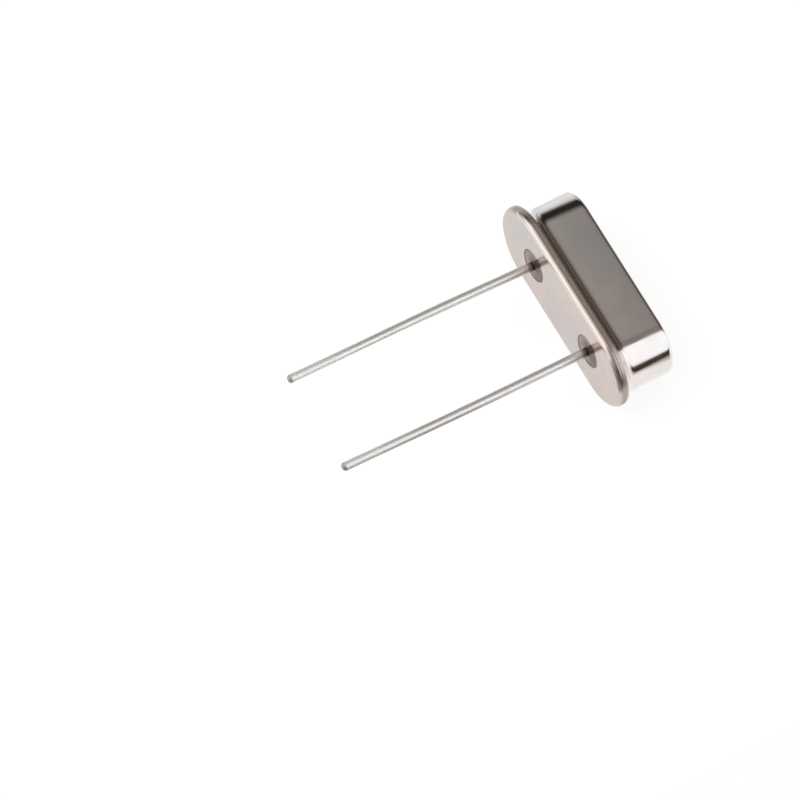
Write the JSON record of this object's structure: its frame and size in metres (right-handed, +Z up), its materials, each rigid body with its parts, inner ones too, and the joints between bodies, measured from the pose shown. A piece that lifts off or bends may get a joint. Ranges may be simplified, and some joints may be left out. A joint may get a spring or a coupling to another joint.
{
  "type": "crystal oscillator",
  "caption": "Quartz crystal resonator in a low oblong metal can with a flanged base and straight wire leads; it sets a circuit's clock frequency.",
  "frame": {"origin": "centre of the part's box on the surface it rests on", "axes": "+X along the can's long sides, -Y the way the leads point (they rise 9.4 degrees towards their tips), +Z up from the long side that it rests on"},
  "size_m": [0.0108, 0.016, 0.0045],
  "materials": {
    "can_nickel": "bright nickel plate on drawn steel",
    "base_nickel": "bright nickel plate on stamped steel",
    "seal_glass": "fused grey-brown bead, glossy",
    "lead_tin": "tinned wire, satin",
    "clip_spring": "bare nickel alloy strip, satin",
    "quartz": "lapped quartz, slightly frosted",
    "electrode_film": "evaporated silver",
    "adhesive": "silver-filled epoxy, matt"
  },
  "bodies": {
    "root": {"can": "can_nickel", "base": "base_nickel", "glass_seal_left": "seal_glass", "glass_seal_right": "seal_glass", "lead_left": "lead_tin", "lead_right": "lead_tin", "clip_left": "clip_spring", "clip_right": "clip_spring", "quartz_blank": "quartz", "electrode_top": "electrode_film", "electrode_bottom": "electrode_film", "adhesive_left": "adhesive", "adhesive_right": "adhesive"}
  },
  "joints": []
}
